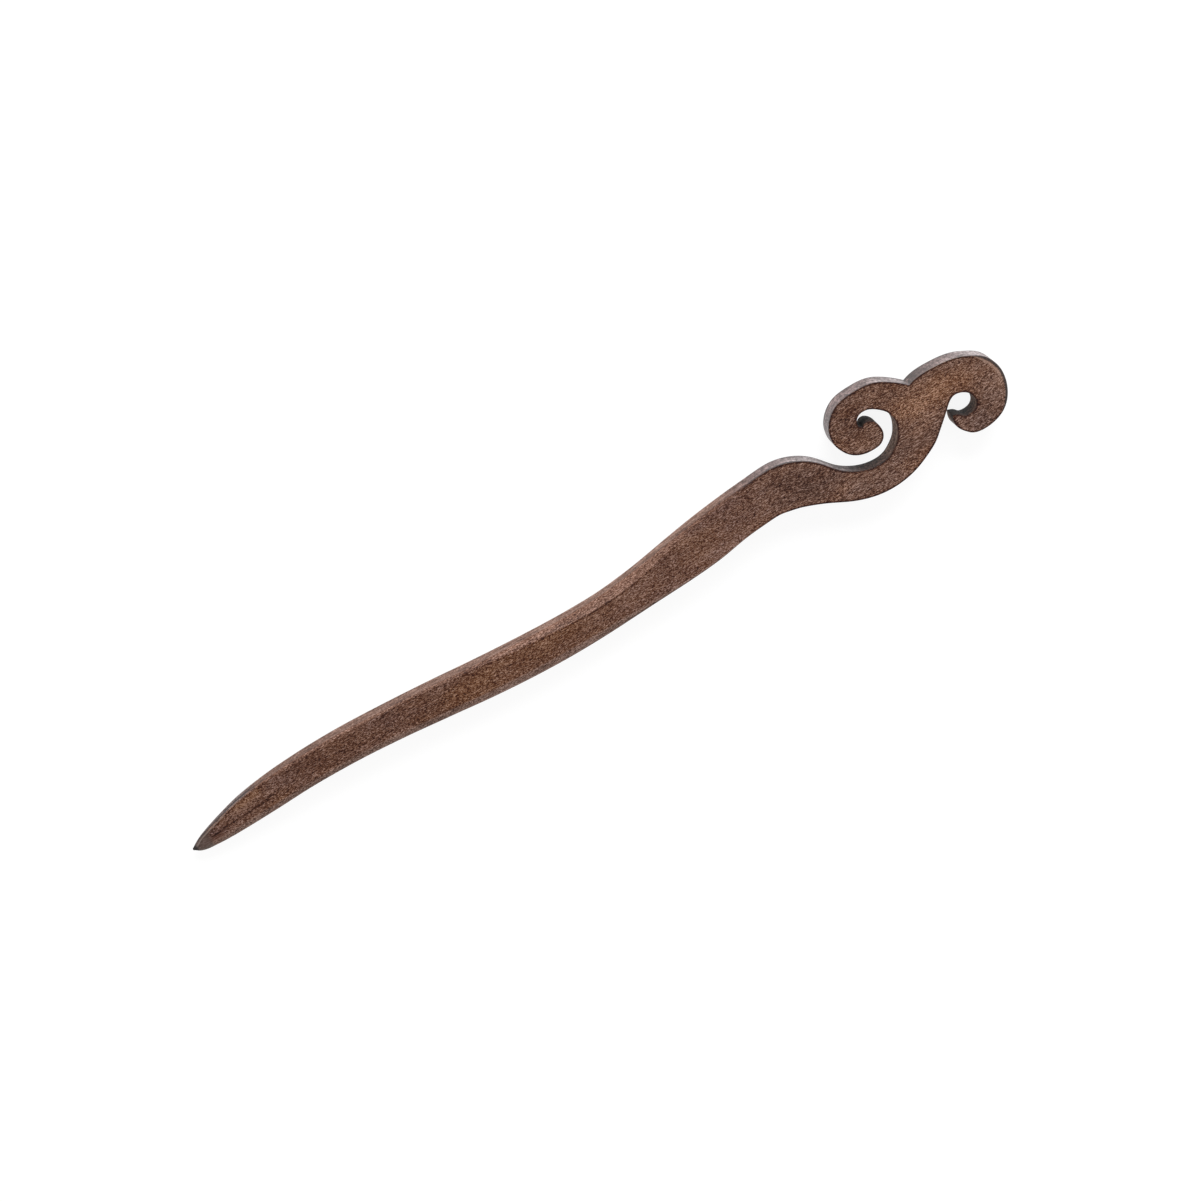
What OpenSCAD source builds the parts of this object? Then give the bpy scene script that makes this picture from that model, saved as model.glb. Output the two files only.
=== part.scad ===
// Carved wooden hair stick: a flat, gently bent pin with two scrolls at its head, cut in one piece.
// It lies on its back. X runs from the point to the scrolls, Y across, Z up out of the front face.

/* [Overall] */
// Length from the point to the far edge of the scrolls, in mm
pin_length = 180; // [150:5:210]
// Thickness of the board, in mm
thickness = 6; // [4.5:0.5:8]

/* [Shank] */
// Width of the shank against the width in the table below
shank_scale = 1; // [0.85:0.05:1.2]
// Width and depth of the shank's long bevels against the table below
bevel_scale = 1; // [0.5:0.1:1.1]

/* [Scroll head] */
// Length of the scroll head, from the neck to the far edge, in mm
head_length = 51.6; // [50:0.2:60]
// Easing of the front edges round the scrolls, in mm
edge_ease = 0.15; // [0.1:0.05:0.3]
// Rounding of the back edges round the scrolls, in mm
back_round = 0.3; // [0.1:0.05:0.3]
// Worn slope over the far scroll's end, in mm across
end_slope = 1.1; // [0.4:0.1:1.3]

/* [Smoothness] */
// Largest turn from one facet to the next, in degrees
turn_step = 8; // [7:1:12]
// Longest facet along the shank, in mm
shank_step = 3.6; // [2.4:0.4:6]

/* [Hidden] */

// The tables are drawn for a board 6 mm thick, with the neck 128 mm from the point
// and the far edge of the scrolls 51.4 mm beyond it.
drawn_neck = 128;
drawn_head = 51.4;
drawn_thick = 6;
head_k = head_length / drawn_head;
neck_x = pin_length - head_length;
shank_k = neck_x / drawn_neck;
thick_k = thickness / drawn_thick;

// Shank stations. Columns: distance from the point, lower edge, upper edge,
// height of the back face, height of the front face, upper bevel, lower bevel, back bevel.
stations = [
    //  x     lower  upper  back  front  upper  lower  back
    [  0.25,  0.58,  1.12,  1.3,  2.2,  0.10,  0.15,  0.15],  // blunt point
    [  1.0,   0.12,  1.64,  1.1,  2.7,  0.15,  0.45,  0.30],
    [  2.2,  -0.22,  2.26,  0.9,  3.1,  0.25,  0.85,  0.40],
    [  4.5,  -0.41,  3.15,  0.6,  3.5,  0.30,  1.30,  0.50],
    [  8.0,  -0.44,  4.29,  0.3,  3.9,  0.25,  1.50,  0.60],
    [ 12.0,  -0.24,  5.40,  0.0,  4.3,  0.25,  1.50,  0.70],  // back comes down to the board's back
    [ 18.0,   0.18,  6.50,  0.0,  4.9,  0.35,  1.45,  0.85],
    [ 25.0,   0.72,  7.20,  0.0,  5.4,  0.50,  1.40,  0.90],
    [ 35.0,   0.90,  7.55,  0.0,  5.8,  0.52,  1.50,  0.90],  // first bend, upwards
    [ 45.0,   0.46,  7.30,  0.0,  6.0,  0.35,  1.60,  0.90],
    [ 55.0,  -0.40,  6.80,  0.0,  6.0,  0.42,  1.70,  0.90],
    [ 65.0,  -1.32,  6.12,  0.0,  6.0,  0.70,  1.80,  0.90],
    [ 75.0,  -1.88,  5.63,  0.0,  6.0,  1.25,  1.90,  0.90],
    [ 80.0,  -1.96,  5.48,  0.0,  6.0,  1.35,  1.94,  0.90],
    [ 85.0,  -1.88,  5.45,  0.0,  6.0,  1.45,  1.90,  0.90],  // second bend, downwards
    [ 92.0,  -1.50,  5.70,  0.0,  6.0,  1.60,  1.60,  0.90],
    [ 97.0,  -1.08,  6.27,  0.0,  6.0,  1.70,  1.22,  0.90],
    [100.0,  -0.82,  6.72,  0.0,  6.0,  1.60,  1.00,  0.90],
    [104.0,  -0.54,  7.46,  0.0,  6.0,  1.30,  0.78,  0.90],
    [108.0,  -0.24,  8.24,  0.0,  6.0,  1.00,  0.60,  0.90],
    [115.0,   0.50,  9.48,  0.0,  6.0,  0.70,  0.40,  0.90],
    [122.0,   1.80, 10.42,  0.0,  6.0,  0.45,  0.25,  0.88],
    [128.0,   2.44, 11.03,  0.0,  6.0,  0.25,  0.15,  0.80],  // neck
];

// Outline of the scroll head, round from the neck's lower edge to its upper edge.
// Columns: x, y, heading on the way in, heading on the way out (degrees; the two differ at a corner).
sweep_under = [          // under the hump and along the outside of the big sweep
    [128.0,   2.44,    4,    4],
    [130.6,   2.26,  -12,  -12],
    [134.0,   1.46,  -19,  -19],
    [138.0,  -0.10,  -24,  -24],
    [141.6,  -1.84,  -25,  -25],
    [150.2,  -3.92,    0,    0],
    [158.4,  -2.04,   26,   26],
    [162.85,  0.70,   44,   44],
    [166.55,  4.28,   46,   46],
];
far_scroll_hole = [      // round the hole of the far scroll to the end of its tongue
    [169.7,   6.12,   -8,   -8],
    [172.40,  3.50,  -90,  -90],
    [171.55,  1.85, -147, -147],
    [169.95,  1.45, -181, -181],
    [168.95,  1.66, -212, -212],
    [168.3,   2.32, -216, -216],
    [167.13,  2.84, -205, -122],
];
far_scroll_outside = [   // back round the outside of the far scroll to the notch
    [166.70,  1.24,  -93,  -93],
    [168.3,  -1.63,  -45,  -45],
    [171.15, -2.58,    0,    0],
    [175.3,  -1.70,   25,   25],
    [178.2,   1.00,   60,   60],
    [179.4,   5.40,   90,   90],
    [178.2,   9.16,  124,  124],
    [174.55, 11.70,  153,  153],
    [168.6,  12.95,  178,  178],
    [162.48, 12.18,  204,  136],
];
near_scroll_outside = [  // over the near scroll and under its round end
    [158.05, 15.47,  151,  151],
    [153.2,  16.44,  182,  182],
    [148.16, 15.57,  207,  207],
    [145.18, 12.74,  240,  240],
    [144.50, 10.02,  268,  268],
    [145.60,  6.85,  303,  303],
    [150.2,   4.58,  360,  360],
    [152.7,   5.00,  390,  390],
    [153.98,  7.22,  450,  450],
    [153.27,  9.36,  493,  493],
    [152.1,  10.04,  533,  533],
    [151.4,   9.93,  562,  562],
];
near_scroll_inside = [   // into the eye, out again and down the inside of the sweep
    [150.85,  9.53,  580,  480],
    [150.25, 10.20,  450,  450],
    [151.1,  11.75,  395,  395],
    [152.65, 12.10,  358,  358],
    [155.0,  11.05,  322,  322],
    [156.7,   9.00,  290,  290],
    [157.0,   7.20,  264,  264],
    [156.05,  4.60,  240,  240],
    [153.6,   2.32,  214,  214],
];
hump = [                 // along the inside of the sweep and over the hump to the neck
    [150.5,   1.42,  180,  180],
    [146.7,   2.15,  158,  158],
    [143.7,   3.90,  141,  141],
    [141.2,   6.60,  131,  131],
    [138.83,  8.80,  145,  145],
    [135.63, 10.46,  160,  160],
    [131.2,  11.25,  180,  180],
    [128.0,  11.03,  186,  186],
];
head_knots = concat(sweep_under, far_scroll_hole, far_scroll_outside,
                    near_scroll_outside, near_scroll_inside, hump);

// Section through an edge, from the back face round to the front face. Columns:
// side (0 back, 1 front), share of the rounding's width, share of its depth.
edge_section = [
    [0, 1.00, 0.00], [0, 0.35, 0.25], [0, 0.00, 1.00],
    [1, 0.00, 1.00], [1, 0.12, 0.78], [1, 0.66, 0.20], [1, 1.00, 0.00],
];
levels = len(edge_section);

// ---- curves ----
function blend(t, a, b, ta, tb) =
    (2*t*t*t - 3*t*t + 1) * a + (t*t*t - 2*t*t + t) * ta
    + (3*t*t - 2*t*t*t) * b + (t*t*t - t*t) * tb;

// slope of a table column at row k, weighted by the rows beside it
function slope(s, k, c) =
    k == 0 ? (s[1][c] - s[0][c]) / (s[1][0] - s[0][0])
    : k == len(s) - 1 ? (s[k][c] - s[k-1][c]) / (s[k][0] - s[k-1][0])
    : let(w0 = s[k+1][0] - s[k][0], w1 = s[k][0] - s[k-1][0])
      ((s[k][c] - s[k-1][c]) / w1 * w0 + (s[k+1][c] - s[k][c]) / w0 * w1) / (w0 + w1);

// all columns of the station table between row i and the next, t from 0 to 1
function between(s, i, t) =
    let(h = s[i+1][0] - s[i][0])
    [for (c = [0 : len(s[0]) - 1])
        c == 0 ? s[i][0] + t*h
        : blend(t, s[i][c], s[i+1][c], slope(s, i, c)*h, slope(s, i+1, c)*h)];

// smooth run from knot a to knot b, without b
function run(a, b) =
    let(d = norm([b[0]-a[0], b[1]-a[1]]), turn = b[2] - a[3],
        n = max(2, ceil(abs(turn)/turn_step), ceil(d/2.5)),
        m = d / pow(cos(turn/4), 2))
    [for (i = [0 : n-1]) let(t = i/n)
        [blend(t, a[0], b[0], m*cos(a[3]), m*cos(b[2])),
         blend(t, a[1], b[1], m*sin(a[3]), m*sin(b[2]))]];

// ---- outline ----
// rows of the shank from the point to just before the neck
rows = [for (i = [0 : len(stations) - 2])
    let(n = max(i < 5 ? 2 : 1, ceil((stations[i+1][0] - stations[i][0]) * shank_k / shank_step)))
    for (j = [0 : n-1]) between(stations, i, j/n)];

function widened(r, side) =
    let(mid = (r[1] + r[2]) / 2, w = 1 + (shank_scale - 1) * (1 - pow(r[0]/drawn_neck, 4)))
    (mid + (r[side] - mid) * w) * head_k;

// one outline point: x, y, back height, front height, back width, back depth, front width, front depth
function shank_point(r, side) =
    let(b = r[side == 1 ? 6 : 5] * bevel_scale,
        h = (min(drawn_thick, r[4]) - max(0, r[3])) * thick_k,
        rb = min(r[7] * bevel_scale, 0.25 * (r[2] - r[1])))
    [r[0] * shank_k, widened(r, side), max(0, r[3]) * thick_k,
     min(drawn_thick, r[4]) * thick_k, rb, min(1.3 * rb, 0.3 * h),
     b, min(b * (side == 1 ? 0.75 : 0.95) * thick_k, 0.5 * h)];

head_line = concat(
    [for (i = [0 : len(head_knots) - 2]) each run(head_knots[i], head_knots[i+1])],
    [[head_knots[len(head_knots)-1][0], head_knots[len(head_knots)-1][1]]]);

// smooth step from 0 at a to 1 at b
function step_up(a, b, v) = let(t = min(1, max(0, (v-a) / (b-a)))) t*t*(3 - 2*t);

// the shank's rounded back runs out over the hump, and the far scroll's end is worn to a slope
function head_point(p) =
    let(neck = 1 - step_up(128, 140, p[0]),
        rb = back_round + (stations[len(stations)-1][7] * bevel_scale - back_round) * neck,
        worn = step_up(174.8, 178.2, p[0]))
    [neck_x + (p[0] - drawn_neck) * head_k, p[1] * head_k, 0, thickness,
     rb, rb * (1 + 0.3*neck),
     edge_ease + (end_slope - edge_ease) * worn,
     edge_ease + (0.14 * end_slope - edge_ease) * worn];

tip_row = stations[0];
tip_point = [0, (widened(tip_row, 1) + widened(tip_row, 2)) / 2,
             tip_row[3] * thick_k, tip_row[4] * thick_k, 0.1, 0.1, 0.1, 0.1];

edge_points = concat(
    [tip_point],
    [for (r = rows) shank_point(r, 1)],
    [for (p = head_line) head_point(p)],
    [for (i = [len(rows) - 1 : -1 : 0]) shank_point(rows[i], 2)]);
count = len(edge_points);
shank_count = len(rows);
head_first = 1 + shank_count;
head_last = head_first + len(head_line) - 1;

function flat(p) = [p[0], p[1]];
function unit(v) = v / norm(v);
// inward direction at outline point i, longer at a corner so that the sides keep their width
function inward(i) =
    let(p = flat(edge_points[i]),
        a = flat(edge_points[(i + count - 1) % count]),
        b = flat(edge_points[(i + 1) % count]),
        t = unit(p - a) + unit(b - p), l = norm(t))
    [-t[1], t[0]] / l / max(0.5, l/2);

// box centre of the outline, so that the part stands centred on the origin
xs = [for (p = edge_points) p[0]];
ys = [for (p = edge_points) p[1]];
centre = [(min(xs) + max(xs)) / 2, (min(ys) + max(ys)) / 2];

inwards = [for (i = [0 : count-1]) inward(i)];
function level_point(i, s) =
    let(e = edge_points[i], q = flat(e) + inwards[i] * (s[0] == 0 ? e[4] : e[6]) * s[1] - centre)
    [q[0], q[1], s[0] == 0 ? e[2] + e[5]*s[2] : e[3] - e[7]*s[2]];
points = [for (s = edge_section) for (i = [0 : count-1]) level_point(i, s)];

// ---- faces ----
function side_of(o, a, b) = (a[0]-o[0])*(b[1]-o[1]) - (a[1]-o[1])*(b[0]-o[0]);
function within(p, a, b, c) =
    side_of(a, b, p) > -1e-7 && side_of(b, c, p) > -1e-7 && side_of(c, a, p) > -1e-7;
function is_ear(ids, i) =
    let(n = len(ids), a = ids[(i+n-1)%n], b = ids[i], c = ids[(i+1)%n])
    side_of(points[a], points[b], points[c]) > 1e-6
    && len([for (j = ids) if (j != a && j != b && j != c
            && within(points[j], points[a], points[b], points[c])) 1]) == 0;
function next_ear(ids, i, left) =
    left == 0 ? i : is_ear(ids, i) ? i : next_ear(ids, (i+1) % len(ids), left-1);
// cuts a flat counterclockwise loop of point numbers into triangles
function cut_up(ids, start, done) =
    len(ids) == 3 ? concat(done, [ids])
    : let(n = len(ids), e = next_ear(ids, start, n),
          t = [ids[(e+n-1)%n], ids[e], ids[(e+1)%n]])
      cut_up([for (k = [0 : n-1]) if (k != e) ids[k]], (e + 1) % (n-1), concat(done, [t]));

function ids_at(level, from, to) = [for (i = [from : to]) level*count + i];
// the shank's flat faces run across from edge to edge, the head's are cut up
function cover(level) =
    let(o = level*count)
    concat(
        [[o, o + 1, o + count - 1]],
        [for (j = [1 : shank_count]) each
            let(a = o + j, b = o + j + 1, c = o + count - j, d = c - 1)
            [[a, b, d], [a, d, c]]],
        cut_up(ids_at(level, head_first, head_last), 0, []));

function turned(f) = [for (t = f) [t[2], t[1], t[0]]];
walls = [for (k = [0 : levels-2]) for (i = [0 : count-1])
    let(j = (i+1) % count, a = k*count + i, b = k*count + j,
        c = (k+1)*count + j, d = (k+1)*count + i)
    each [[a, b, c], [a, c, d]]];

// the points of each face run clockwise seen from outside
faces = concat(turned(walls), turned(cover(levels - 1)), cover(0));

module hair_stick() {
    color([0.36, 0.23, 0.17])
    polyhedron(points = points, faces = faces, convexity = 8);
}

hair_stick();
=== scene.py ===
"""Looks of the carved wooden hair stick: a fine mesh of the whole stick, its stained wood, floor, lights and camera.

All lengths in the tables are millimetres, drawn as in the part: x from the point, y across, z up.
"""

import math

import bpy
import numpy as np
from mathutils import Matrix, Vector, geometry, noise


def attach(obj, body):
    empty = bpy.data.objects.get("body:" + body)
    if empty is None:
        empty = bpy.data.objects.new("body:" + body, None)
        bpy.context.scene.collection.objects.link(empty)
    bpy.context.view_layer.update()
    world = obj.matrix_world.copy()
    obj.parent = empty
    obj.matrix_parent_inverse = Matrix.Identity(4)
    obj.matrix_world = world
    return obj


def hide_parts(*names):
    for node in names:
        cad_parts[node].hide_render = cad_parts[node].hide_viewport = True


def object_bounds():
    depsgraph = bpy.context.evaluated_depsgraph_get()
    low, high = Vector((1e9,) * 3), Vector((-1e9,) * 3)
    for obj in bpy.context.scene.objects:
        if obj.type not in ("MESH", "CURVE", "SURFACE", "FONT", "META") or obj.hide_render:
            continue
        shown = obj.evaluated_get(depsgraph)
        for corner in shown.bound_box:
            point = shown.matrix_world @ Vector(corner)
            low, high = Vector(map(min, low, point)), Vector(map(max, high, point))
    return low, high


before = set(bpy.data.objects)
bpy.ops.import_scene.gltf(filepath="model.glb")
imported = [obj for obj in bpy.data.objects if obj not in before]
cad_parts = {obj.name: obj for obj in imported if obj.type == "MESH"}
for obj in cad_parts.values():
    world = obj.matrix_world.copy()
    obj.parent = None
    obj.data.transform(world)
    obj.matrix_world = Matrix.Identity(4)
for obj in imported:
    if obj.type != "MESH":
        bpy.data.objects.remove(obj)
cad_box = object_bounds()
MM = 0.001

# ---------------------------------------------------------------- shape tables
DRAWN_NECK, DRAWN_HEAD = 128.0, 51.4
HEAD_K = 51.6 / DRAWN_HEAD
NECK_X = 180.0 - 51.6
SHANK_K = NECK_X / DRAWN_NECK
THICK = 6.0
EDGE_EASE = 0.1
BACK_ROUND = 0.3
END_SLOPE = 1.1

# distance from the point, lower edge, upper edge, back face, front face,
# upper bevel, lower bevel, back bevel
STATIONS = [
    (0.25, 0.58, 1.12, 1.3, 2.2, 0.10, 0.15, 0.15),
    (1.0, 0.12, 1.64, 1.1, 2.7, 0.15, 0.45, 0.30),
    (2.2, -0.22, 2.26, 0.9, 3.1, 0.25, 0.85, 0.40),
    (4.5, -0.41, 3.15, 0.6, 3.5, 0.30, 1.30, 0.50),
    (8.0, -0.44, 4.29, 0.3, 3.9, 0.25, 1.50, 0.60),
    (12.0, -0.24, 5.40, 0.0, 4.3, 0.25, 1.50, 0.70),
    (18.0, 0.18, 6.50, 0.0, 4.9, 0.35, 1.45, 0.85),
    (25.0, 0.72, 7.20, 0.0, 5.4, 0.50, 1.40, 0.90),
    (35.0, 0.90, 7.55, 0.0, 5.8, 0.52, 1.50, 0.90),
    (45.0, 0.46, 7.30, 0.0, 6.0, 0.35, 1.60, 0.90),
    (55.0, -0.40, 6.80, 0.0, 6.0, 0.42, 1.70, 0.90),
    (65.0, -1.32, 6.12, 0.0, 6.0, 0.70, 1.80, 0.90),
    (75.0, -1.88, 5.63, 0.0, 6.0, 1.25, 1.90, 0.90),
    (80.0, -1.96, 5.48, 0.0, 6.0, 1.35, 1.94, 0.90),
    (85.0, -1.88, 5.45, 0.0, 6.0, 1.45, 1.90, 0.90),
    (92.0, -1.50, 5.70, 0.0, 6.0, 1.60, 1.60, 0.90),
    (97.0, -1.08, 6.27, 0.0, 6.0, 1.70, 1.22, 0.90),
    (100.0, -0.82, 6.72, 0.0, 6.0, 1.60, 1.00, 0.90),
    (104.0, -0.54, 7.46, 0.0, 6.0, 1.30, 0.78, 0.90),
    (108.0, -0.24, 8.24, 0.0, 6.0, 1.00, 0.60, 0.90),
    (115.0, 0.50, 9.48, 0.0, 6.0, 0.70, 0.40, 0.90),
    (122.0, 1.80, 10.42, 0.0, 6.0, 0.45, 0.25, 0.88),
    (128.0, 2.44, 11.03, 0.0, 6.0, 0.25, 0.15, 0.80),
]

# x, y, heading in, heading out
SWEEP_UNDER = [
    (128.0, 2.44, 4, 4),
    (130.6, 2.26, -12, -12),
    (134.0, 1.46, -19, -19),
    (138.0, -0.10, -24, -24),
    (141.6, -1.84, -25, -25),
    (150.2, -3.92, 0, 0),
    (158.4, -2.04, 26, 26),
    (162.85, 0.70, 44, 44),
    (166.55, 4.28, 46, 46),
]
FAR_SCROLL_HOLE = [
    (169.7, 6.12, -8, -8),
    (172.40, 3.50, -90, -90),
    (171.55, 1.85, -147, -147),
    (169.95, 1.45, -181, -181),
    (168.95, 1.66, -212, -212),
    (168.3, 2.32, -216, -216),
    (167.13, 2.84, -205, -122),
]
FAR_SCROLL_OUTSIDE = [
    (166.70, 1.24, -93, -93),
    (168.3, -1.63, -45, -45),
    (171.15, -2.58, 0, 0),
    (175.3, -1.70, 25, 25),
    (178.2, 1.00, 60, 60),
    (179.4, 5.40, 90, 90),
    (178.2, 9.16, 124, 124),
    (174.55, 11.70, 153, 153),
    (168.6, 12.95, 178, 178),
    (162.48, 12.18, 204, 136),
]
NEAR_SCROLL_OUTSIDE = [
    (158.05, 15.47, 151, 151),
    (153.2, 16.44, 182, 182),
    (148.16, 15.57, 207, 207),
    (145.18, 12.74, 240, 240),
    (144.50, 10.02, 268, 268),
    (145.60, 6.85, 303, 303),
    (150.2, 4.58, 360, 360),
    (152.7, 5.00, 390, 390),
    (153.98, 7.22, 450, 450),
    (153.27, 9.36, 493, 493),
    (152.1, 10.04, 533, 533),
    (151.4, 9.93, 562, 562),
]
NEAR_SCROLL_INSIDE = [
    (150.85, 9.53, 580, 480),
    (150.25, 10.20, 450, 450),
    (151.1, 11.75, 395, 395),
    (152.65, 12.10, 358, 358),
    (155.0, 11.05, 322, 322),
    (156.7, 9.00, 290, 290),
    (157.0, 7.20, 264, 264),
    (156.05, 4.60, 240, 240),
    (153.6, 2.32, 214, 214),
]
HUMP = [
    (150.5, 1.42, 180, 180),
    (146.7, 2.15, 158, 158),
    (143.7, 3.90, 141, 141),
    (141.2, 6.60, 131, 131),
    (138.83, 8.80, 145, 145),
    (135.63, 10.46, 160, 160),
    (131.2, 11.25, 180, 180),
    (128.0, 11.03, 186, 186),
]
HEAD_KNOTS = (
    SWEEP_UNDER
    + FAR_SCROLL_HOLE
    + FAR_SCROLL_OUTSIDE
    + NEAR_SCROLL_OUTSIDE
    + NEAR_SCROLL_INSIDE
    + HUMP
)


# ---------------------------------------------------------------- curves
def cubic(t, a, b, ta, tb):
    return (
        (2 * t**3 - 3 * t * t + 1) * a
        + (t**3 - 2 * t * t + t) * ta
        + (3 * t * t - 2 * t**3) * b
        + (t**3 - t * t) * tb
    )


def slope(k, c):
    s = STATIONS
    if k == 0:
        return (s[1][c] - s[0][c]) / (s[1][0] - s[0][0])
    if k == len(s) - 1:
        return (s[k][c] - s[k - 1][c]) / (s[k][0] - s[k - 1][0])
    w0, w1 = s[k + 1][0] - s[k][0], s[k][0] - s[k - 1][0]
    return (
        (s[k][c] - s[k - 1][c]) / w1 * w0 + (s[k + 1][c] - s[k][c]) / w0 * w1
    ) / (w0 + w1)


def between(i, t):
    h = STATIONS[i + 1][0] - STATIONS[i][0]
    row = [STATIONS[i][0] + t * h]
    for c in range(1, 8):
        row.append(
            cubic(
                t,
                STATIONS[i][c],
                STATIONS[i + 1][c],
                slope(i, c) * h,
                slope(i + 1, c) * h,
            )
        )
    return row


def run(a, b):
    d = math.hypot(b[0] - a[0], b[1] - a[1])
    turn = b[2] - a[3]
    n = max(3, math.ceil(abs(turn) / 3.0), math.ceil(d / 0.4))
    m = d / math.cos(math.radians(turn / 4)) ** 2
    ia, ib = math.radians(a[3]), math.radians(b[2])
    return [
        (
            cubic(i / n, a[0], b[0], m * math.cos(ia), m * math.cos(ib)),
            cubic(i / n, a[1], b[1], m * math.sin(ia), m * math.sin(ib)),
        )
        for i in range(n)
    ]


def smooth(a, b, x):
    t = min(1.0, max(0.0, (x - a) / (b - a)))
    return t * t * (3 - 2 * t)


# ---------------------------------------------------------------- outline
class Edge:
    """One outline point: where it is, its two heights, and how its back and front edges are rounded."""

    def __init__(self, x, y, heights, back_size, front_size, power, uneven=0.1):
        self.x, self.y = x, y
        self.back, self.front = heights
        self.bw, self.bd = back_size
        self.fw, self.fd = front_size
        self.power = power
        self.uneven = uneven


rows = []
for i in range(len(STATIONS) - 1):
    span = STATIONS[i + 1][0] - STATIONS[i][0]
    n = max(4, math.ceil(span / 0.6))
    rows += [between(i, j / n) for j in range(n)]
# the point is rounded off ahead of the first station
first = between(0, 0)
nose = []
for k in range(1, 7):
    a = math.radians(12 + 78 * (k - 1) / 6)
    r = list(first)
    mid, half = (first[1] + first[2]) / 2, (first[2] - first[1]) / 2
    r[0] = first[0] * (1 - math.cos(a))
    r[1], r[2] = mid - half * math.sin(a), mid + half * math.sin(a)
    tall, mid_z = first[4] - first[3], (first[4] + first[3]) / 2
    grow = 0.72 + 0.28 * math.sin(a)
    r[3], r[4] = mid_z - tall / 2 * grow, mid_z + tall / 2 * grow
    nose.append(r)
rows = nose + rows


def mix(a, b, t):
    return a + (b - a) * t


def shank_edge(r, side):
    x = r[0]
    lower = side == 1
    bevel = r[6] if lower else r[5]
    back, front = max(0.0, r[3]), min(THICK, r[4])
    width, tall = r[2] - r[1], front - back
    bw = min(r[7], 0.25 * width)
    bd = min(1.3 * bw, 0.3 * tall)
    fw = bevel
    fd = min(bevel * (0.75 if lower else 0.95), 0.5 * tall)
    # the first millimetres are rounded all over
    near = 1 - smooth(0.3, 2.6, x)
    bw, bd = mix(bw, 0.42 * width, near), mix(bd, 0.42 * tall, near)
    fw, fd = mix(fw, 0.42 * width, near), mix(fd, 0.42 * tall, near)
    if lower:
        power = 1.5
    else:
        power = mix(1.7, 1.12, smooth(76, 84, x) * (1 - smooth(97, 105, x)))
    power = mix(power, 1.6, near)
    return Edge(x * SHANK_K, r[side] * HEAD_K, (back, front), (bw, bd), (fw, fd), power)


def head_edge(x, y):
    neck = 1 - smooth(128, 140, x)
    bw = mix(BACK_ROUND, STATIONS[-1][7], neck)
    worn = smooth(174.8, 178.2, x)
    return Edge(
        NECK_X + (x - DRAWN_NECK) * HEAD_K,
        y * HEAD_K,
        (0.0, THICK),
        (bw, bw * (1 + 0.3 * neck)),
        (mix(EDGE_EASE, END_SLOPE, worn), mix(EDGE_EASE, 0.14 * END_SLOPE, worn)),
        mix(1.6, 1.8, worn),
        0.4 * (1 - worn),
    )


head_line = []
for a, b in zip(HEAD_KNOTS[:-1], HEAD_KNOTS[1:]):
    head_line += run(a, b)
head_line.append(HEAD_KNOTS[-1][:2])

edges = [
    Edge(
        0.0,
        (nose[0][1] + nose[0][2]) / 2 * HEAD_K,
        (nose[0][3], nose[0][4]),
        (0.05, 0.3),
        (0.05, 0.3),
        1.6,
    )
]
edges += [shank_edge(r, 1) for r in rows]
edges += [head_edge(x, y) for x, y in head_line]
edges += [shank_edge(r, 2) for r in reversed(rows)]
COUNT = len(edges)
SHANK = len(rows)
HEAD_FIRST = 1 + SHANK
HEAD_LAST = HEAD_FIRST + len(head_line) - 1

# the drawing's origin is the point; the part stands centred on its box
shift_x = cad_box[0].x / MM - min(e.x for e in edges)
shift_y = cad_box[0].y / MM - min(e.y for e in edges)
for e in edges:
    e.x += shift_x
    e.y += shift_y


def inward(i):
    p, a, b = edges[i], edges[i - 1], edges[(i + 1) % COUNT]
    u = Vector((p.x - a.x, p.y - a.y)).normalized()
    v = Vector((b.x - p.x, b.y - p.y)).normalized()
    t = u + v
    length = t.length
    return Vector((-t.y, t.x)) / length / max(0.5, length / 2)


inwards = [inward(i) for i in range(COUNT)]


# ---------------------------------------------------------------- section through an edge
def rounding(steps, power, flip):
    """Shares (inset, depth) of a rounded corner from the wall (0, 1) to the face (1, 0)."""
    out = []
    for k in range(steps + 1):
        a = math.pi / 2 * k / steps
        out.append(
            (1 - math.cos(a) ** (2 / power), 1 - math.sin(a) ** (2 / power))
        )
    return out[::-1] if flip else out


BACK_STEPS, WALL_STEPS, FRONT_STEPS = 7, 6, 10
LEVELS = BACK_STEPS + 1 + WALL_STEPS + FRONT_STEPS + 1


def hand(x, y, scale, seed):
    """A smooth number from 0 to 1 that wanders over the stick, for the unevenness of hand sanding."""
    return 0.5 + 0.5 * noise.noise(Vector((x / scale, y / scale * 1.6, seed)))


def column(i):
    """The points up one outline point, back face first: (x, y, z, side share, edge share)."""
    e, n = edges[i], inwards[i]
    wobble = 1 - e.uneven * hand(e.x, e.y, 5.0, 3.1)
    fw, fd = e.fw * wobble, e.fd * wobble
    pts = []
    for inset, depth in rounding(BACK_STEPS, 1.9, True):
        pts.append((inset * e.bw, e.back + e.bd * depth, 1 - inset, 0.0))
    low, high = e.back + e.bd, e.front - fd
    for k in range(1, WALL_STEPS):
        pts.append((0.0, low + (high - low) * k / WALL_STEPS, 1.0, 0.0))
    pts.append((0.0, high - min(0.03, 0.05 * (high - low)), 1.0, 0.0))
    for inset, depth in rounding(FRONT_STEPS, e.power, False):
        pts.append((inset * fw, e.front - fd * depth, 1 - inset, 1.0))
    return [
        (e.x + n.x * d, e.y + n.y * d, z, side, edge) for d, z, side, edge in pts
    ]


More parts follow.
